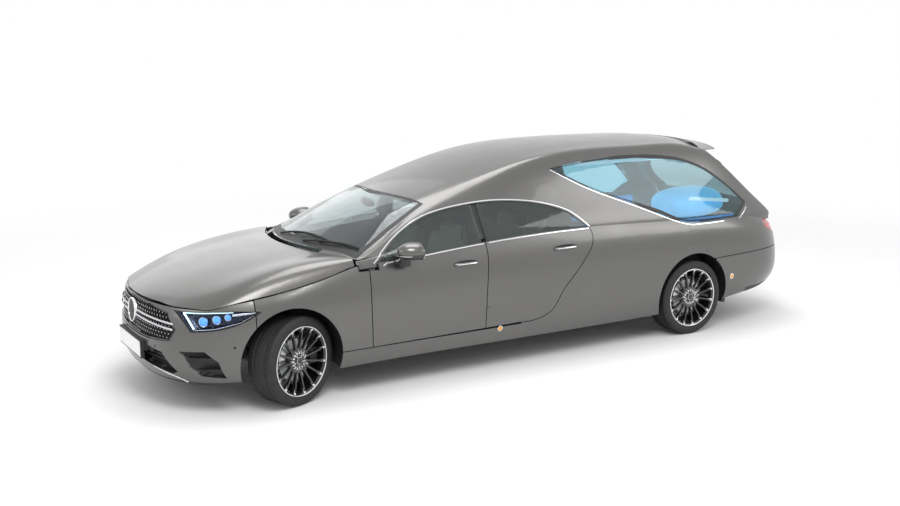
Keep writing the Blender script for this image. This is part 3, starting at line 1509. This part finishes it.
class HEARSE_OT_rear(bpy.types.Operator):
    """Handle bar, high brake lamp, tail-lamp bands and exhaust finishers"""
    bl_idname = "hearse.rear"
    bl_label = "Rear details"

    def execute(self, context):
        for label, z, half, width, height, finish, slot in (
                ("handle_bar", 0.905, 0.380, 0.020, 0.008, "chrome", "steel"),
                ("high_lamp", 1.490, 0.200, 0.018, 0.006, "red_lamp", "red_lamp")):
            points, normals = front_line(("tailgate",), [(y, z) for y in spaced(-half, half, 24)], way=-1)
            add_piece(label, lambda work: bar_along(work, points, normals, width, height), finish,
                      "tailgate", 50)
        low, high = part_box("tail_lights")

        def bands(work):
            for z, width in ((0.905, 0.006), (0.862, 0.010), (0.822, 0.006)):
                line = [(x, z) for x in spaced(low[0] + 0.03, high[0] - 0.03, 16)]
                points, normals = side_line(("tail_lights",), line, 1, 0.0005)
                if len(points) > 3:
                    bar_along(work, points, normals, width, 0.0025)
        add_pair("tail_bands", bands, "red_glow")

        def outlets(work):
            for y in (0.44, 0.56):
                found = on_front(("rear_bumper",), y, OUTLET_Z, -1)
                edge = found[0].x if found else -2.93
                disc_faces(work, Vector((edge + 0.012, y, OUTLET_Z)), Vector((-1, 0, 0)), [
                    (0.030, -0.03), (0.030, 0.012), (0.034, 0.018), (0.040, 0.016), (0.042, 0.008),
                    (0.042, -0.03)], 32)
        add_pair("outlets", outlets, "satin", smooth=50)
        return {"FINISHED"}


class HEARSE_OT_markers(bpy.types.Operator):
    """Amber side lamps with bright rings and parking sensors"""
    bl_idname = "hearse.markers"
    bl_label = "Side markers"

    def execute(self, context):
        panels = ("left_side_panel", "rear_bumper", "front_bumper", "front_fenders")
        for label, x, z in (("sill_marker", 0.363, 0.332), ("quarter_marker", -2.077, 0.467)):
            point, normal = on_side(panels, x, z, 1)
            add_pair(label, lambda work: disc_faces(work, point, normal, [
                (0.0, 0.0085), (0.010, 0.0078), (0.0165, 0.0055), (0.0175, -0.002)], 36), "amber")
            add_pair(f"{label}_ring", lambda work: disc_faces(work, point, normal, [
                (0.0175, 0.0), (0.018, 0.0062), (0.020, 0.0072), (0.0232, 0.0055), (0.0240, 0.0),
                (0.0238, -0.002), (0.0175, -0.002)], 36), "chrome", smooth=50)

        def sensors(work):
            for point, normal in (on_side(panels, 2.511, 0.490, 1), on_front(BUMPER, 0.42, 0.455),
                                  on_front(BUMPER, 0.28, 0.462)):
                disc_faces(work, point, normal, [(0.0, 0.0016), (0.009, 0.0013), (0.0105, 0.0),
                                                 (0.0105, -0.002)], 24)
        add_pair("sensors", sensors, "black")
        return {"FINISHED"}


SPLITTER_LIP = ((0.0, 0.350), (0.15, 0.348), (0.321, 0.318), (0.588, 0.265), (0.663, 0.233))
SKIRT_TOP = 0.236
DIFFUSER_TOP, DIFFUSER_FRONT = 0.335, -2.30


class HEARSE_OT_lower_trim(bpy.types.Operator):
    """Bright lip and dark skirt of the splitter, dark diffuser, and the load windows' seals and strips"""
    bl_idname = "hearse.lower_trim"
    bl_label = "Lower trim and seals"

    def execute(self, context):
        def lip_bar(work):
            half = curve(SPLITTER_LIP, 10)
            line = [(-y, z) for y, z in half[:0:-1]] + half
            points, normals = front_line(BUMPER, line, 0.002)
            bar_along(work, points, normals, 0.009, 0.005)
        add_piece("splitter_lip", lip_bar, "satin", smooth=50)
        skirt = cover_mesh("splitter_skirt", "front_bumper", [((0, 0, SKIRT_TOP), UP)], 0.0008)
        add_piece("splitter_skirt", skirt, "black", smooth=40)
        tray = cover_mesh("diffuser", "rear_bumper", [((0, 0, DIFFUSER_TOP), UP),
                                                      ((DIFFUSER_FRONT, 0, 0), (1, 0, 0))], 0.0008)
        add_piece("diffuser", tray, "black", smooth=40)

        def seal(work):
            loop = curve(LOAD_WINDOW_TOP) + fine([LOAD_WINDOW_TOP[-1], LOAD_WINDOW_FOOT[0]], 0.03)
            loop += curve(LOAD_WINDOW_FOOT)
            edge_band(work, loop, (-1.35, 1.29), 0.002, 0.034, 0.0012,
                      lambda x, z: on_side(("load_windows",), x, z, 1))
        add_pair("load_window_seal", seal, "black")

        def strip(work):
            foot = [(x, z - 0.013) for x, z in curve(LOAD_WINDOW_FOOT) if -1.995 <= x <= -0.270]
            tail = curve([(-2.190, 0.968), (-2.262, 0.998), (-2.330, 1.052)])
            for line in (foot, tail):
                points, normals = side_line(("left_side_panel",), line, 1, 0.0010)
                bar_along(work, points, normals, sizes().strip_width, STRIP_HEIGHT)
        add_pair("load_window_strip", strip, "chrome")
        return {"FINISHED"}


# ---------------------------------------------------------------- stage
FLOOR_HALF = 12
FLOOR_FADE = (3.6, 9.5)
WORLD_LEVEL = 0.74
LAMPS = (("key", (2.5, 5.0, 6.5), (0.2, 0, 0.6), 3.5, 260),
         ("fill", (-6.5, 6.0, 4.5), (-0.5, 0, 0.7), 4.0, 140),
         ("front", (9.0, 0.5, 4.0), (1.5, 0, 0.6), 4.0, 70),
         ("top", (-0.5, -1.0, 6.5), (0, 0, 0), 4.0, 190),
         ("far", (0.5, -8.5, 5.0), (0, 0, 0.8), 6.0, 70))
CAMERA_AT = (5.0861, 8.0238, 2.6239)
CAMERA_TURN = (-121.009, -11.230, -0.2376)
CAMERA_LENS = 45.23
CAMERA_SENSOR = 36


def floor_paper():
    """Pale matt floor that fades out far from the car."""
    material = grained("floor_paper", (0.88, 0.88, 0.88), 0.75, grain=(2, 2), rough=(0.7, 0.8))
    tree = material.node_tree
    coords = tree.nodes.new("ShaderNodeTexCoord")
    reach = tree.nodes.new("ShaderNodeVectorMath")
    reach.operation = "LENGTH"
    fade = tree.nodes.new("ShaderNodeMapRange")
    fade.interpolation_type = "SMOOTHSTEP"
    fade.inputs["From Min"].default_value = FLOOR_FADE[0]
    fade.inputs["From Max"].default_value = FLOOR_FADE[1]
    clear = tree.nodes.new("ShaderNodeBsdfTransparent")
    blend = tree.nodes.new("ShaderNodeMixShader")
    tree.links.new(coords.outputs["Object"], reach.inputs[0])
    tree.links.new(reach.outputs["Value"], fade.inputs["Value"])
    tree.links.new(fade.outputs["Result"], blend.inputs["Fac"])
    tree.links.new(tree.nodes[PRINCIPLED].outputs["BSDF"], blend.inputs[1])
    tree.links.new(clear.outputs["BSDF"], blend.inputs[2])
    tree.links.new(blend.outputs["Shader"], tree.nodes["Material Output"].inputs["Surface"])
    return material


def add_floor(scene):
    floor = bpy.data.objects.new("floor", mesh_of("floor", lambda work: bmesh.ops.create_grid(
        work, x_segments=2, y_segments=2, size=FLOOR_HALF)))
    scene.collection.objects.link(floor)
    floor.location.z = -0.001
    floor.data.materials.append(floor_paper())


def add_lamps(scene):
    """Square soft lamps, each from a row of name, place, aim, size and power."""
    for label, place, aim, size, power in LAMPS:
        data = bpy.data.lights.new(label, "AREA")
        data.shape = "SQUARE"
        data.size = size
        data.energy = power
        lamp = bpy.data.objects.new(label, data)
        scene.collection.objects.link(lamp)
        lamp.location = place
        lamp.rotation_euler = (Vector(aim) - Vector(place)).to_track_quat("-Z", "Y").to_euler()


def add_world(scene):
    """A world that lights evenly and shows as white to the camera, in metal and through glass."""
    world = bpy.data.worlds.new("studio")
    scene.world = world
    world.use_nodes = True
    tree = world.node_tree
    back = tree.nodes["Background"]
    back.inputs["Color"].default_value = (1, 1, 1, 1)
    back.inputs["Strength"].default_value = WORLD_LEVEL
    plain = tree.nodes.new("ShaderNodeBackground")
    plain.inputs["Color"].default_value = (1, 1, 1, 1)
    mix = tree.nodes.new("ShaderNodeMixShader")
    path = tree.nodes.new("ShaderNodeLightPath")
    seen = path.outputs["Is Camera Ray"]
    for kind in ("Is Glossy Ray", "Is Transmission Ray"):
        add = tree.nodes.new("ShaderNodeMath")
        add.operation = "ADD"
        add.use_clamp = True
        tree.links.new(seen, add.inputs[0])
        tree.links.new(path.outputs[kind], add.inputs[1])
        seen = add.outputs["Value"]
    tree.links.new(seen, mix.inputs["Fac"])
    tree.links.new(back.outputs["Background"], mix.inputs[1])
    tree.links.new(plain.outputs["Background"], mix.inputs[2])
    tree.links.new(mix.outputs["Shader"], tree.nodes["World Output"].inputs["Surface"])


def add_camera(scene):
    """The camera, turned by a yaw, a pitch and a roll in degrees."""
    camera = bpy.data.cameras.new("camera")
    camera.sensor_width = CAMERA_SENSOR
    camera.lens = CAMERA_LENS
    view = bpy.data.objects.new("camera", camera)
    scene.collection.objects.link(view)
    yaw, pitch, roll = (math.radians(v) for v in CAMERA_TURN)
    ahead = Vector((math.cos(pitch) * math.cos(yaw), math.cos(pitch) * math.sin(yaw), math.sin(pitch)))
    right = ahead.cross(UP).normalized()
    up = right.cross(ahead)
    across = right * math.cos(roll) + up * math.sin(roll)
    upright = up * math.cos(roll) - right * math.sin(roll)
    turn = Matrix((across, upright, -ahead)).transposed().to_4x4()
    view.matrix_world = Matrix.Translation(CAMERA_AT) @ turn
    scene.camera = view


class HEARSE_OT_stage(bpy.types.Operator):
    """Floor, studio lamps, world and camera"""
    bl_idname = "hearse.stage"
    bl_label = "Stage"

    def execute(self, context):
        scene = context.scene
        add_floor(scene)
        add_lamps(scene)
        add_world(scene)
        add_camera(scene)
        scene.view_settings.view_transform = "Standard"
        return {"FINISHED"}


# ---------------------------------------------------------------- panel and start
STEPS = (HEARSE_OT_body, HEARSE_OT_wheels, HEARSE_OT_discs, HEARSE_OT_arches, HEARSE_OT_grille,
         HEARSE_OT_intakes, HEARSE_OT_lamps, HEARSE_OT_strips, HEARSE_OT_handles, HEARSE_OT_mirrors,
         HEARSE_OT_screen, HEARSE_OT_seats, HEARSE_OT_cabin, HEARSE_OT_load_space, HEARSE_OT_rear,
         HEARSE_OT_markers, HEARSE_OT_lower_trim, HEARSE_OT_stage)


class HEARSE_PT_panel(bpy.types.Panel):
    """Lists the steps and their settings"""
    bl_label = "Hearse"
    bl_space_type = "VIEW_3D"
    bl_region_type = "UI"
    bl_category = "Hearse"

    def draw(self, context):
        layout = self.layout
        for group in (context.scene.hearse_colours, context.scene.hearse_sizes):
            for key in group.__annotations__:
                layout.prop(group, key)
        for step in STEPS:
            layout.operator(step.bl_idname)


CLASSES = (HearseColours, HearseSizes, *STEPS, HEARSE_PT_panel)


def register():
    for item in CLASSES:
        bpy.utils.register_class(item)
    bpy.types.Scene.hearse_colours = PointerProperty(type=HearseColours)
    bpy.types.Scene.hearse_sizes = PointerProperty(type=HearseSizes)


def unregister():
    del bpy.types.Scene.hearse_sizes
    del bpy.types.Scene.hearse_colours
    for item in reversed(CLASSES):
        bpy.utils.unregister_class(item)


def run_step(step):
    """Calls one operator by its name."""
    area, name = step.bl_idname.split(".")
    getattr(getattr(bpy.ops, area), name)()


def main():
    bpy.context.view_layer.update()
    register()
    for step in STEPS:
        run_step(step)
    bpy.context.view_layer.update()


if __name__ == "__main__":
    main()
